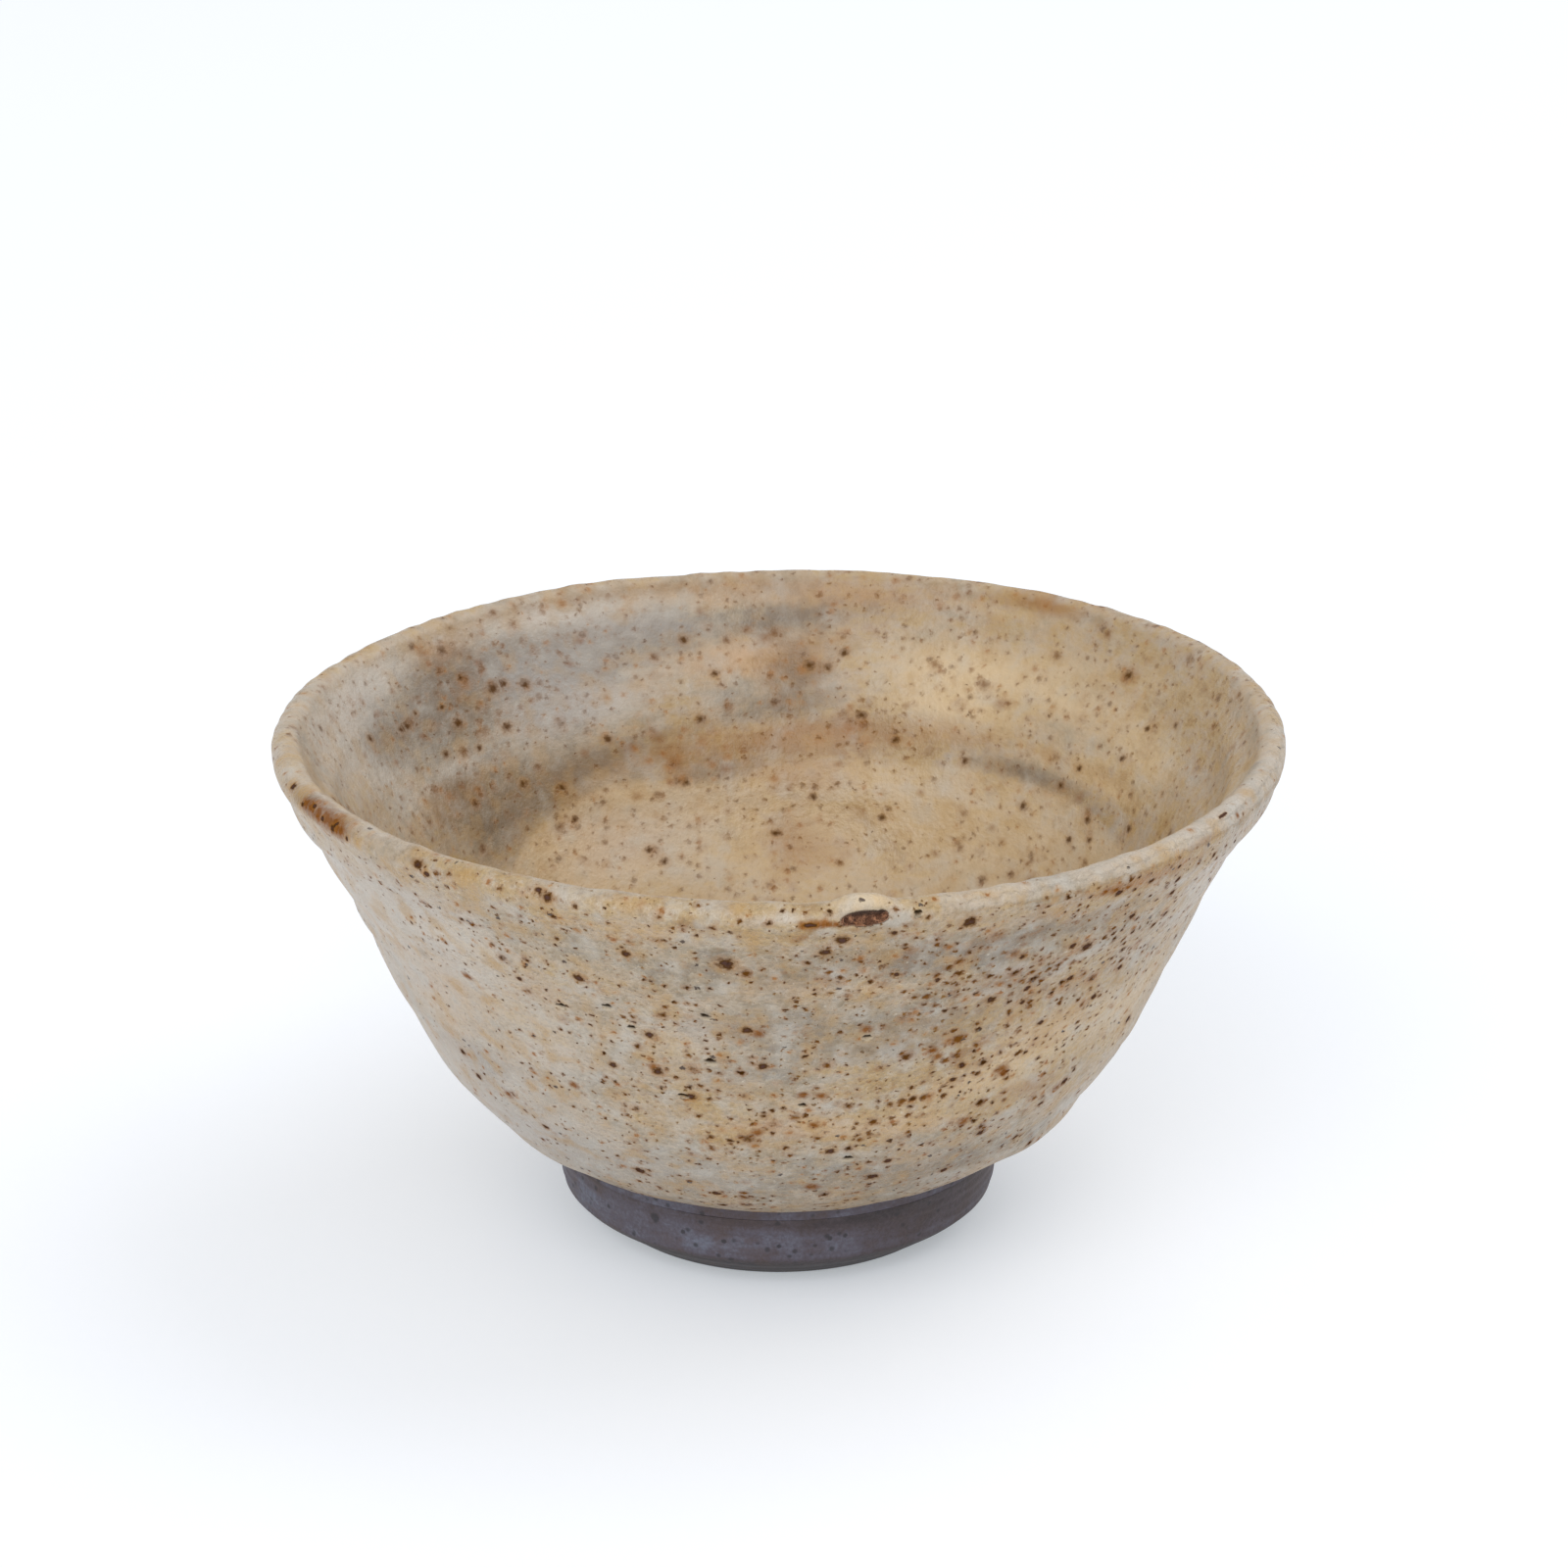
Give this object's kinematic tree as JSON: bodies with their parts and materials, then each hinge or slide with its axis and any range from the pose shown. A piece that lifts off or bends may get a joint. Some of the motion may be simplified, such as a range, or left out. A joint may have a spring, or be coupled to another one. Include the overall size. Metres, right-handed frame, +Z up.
{
  "type": "gongfu teacup",
  "caption": "Small flared tea bowl of wheel-thrown stoneware with speckled ash glaze inside and out, on a bare turned foot ring.",
  "frame": {"origin": "on the ground at the middle of the foot", "axes": "+Z up along the axis the cup was thrown about, -Y towards the side the picture shows, +X to the right"},
  "size_m": [0.0802, 0.0798, 0.0425],
  "materials": {
    "bare_foot": "matte",
    "stoneware": "matte",
    "dipped_glaze": "satin",
    "poured_glaze": "satin"
  },
  "bodies": {
    "root": {"foot_ring": "bare_foot", "clay_bowl": "stoneware", "outer_glaze": "dipped_glaze", "inner_glaze": "poured_glaze"}
  },
  "joints": []
}
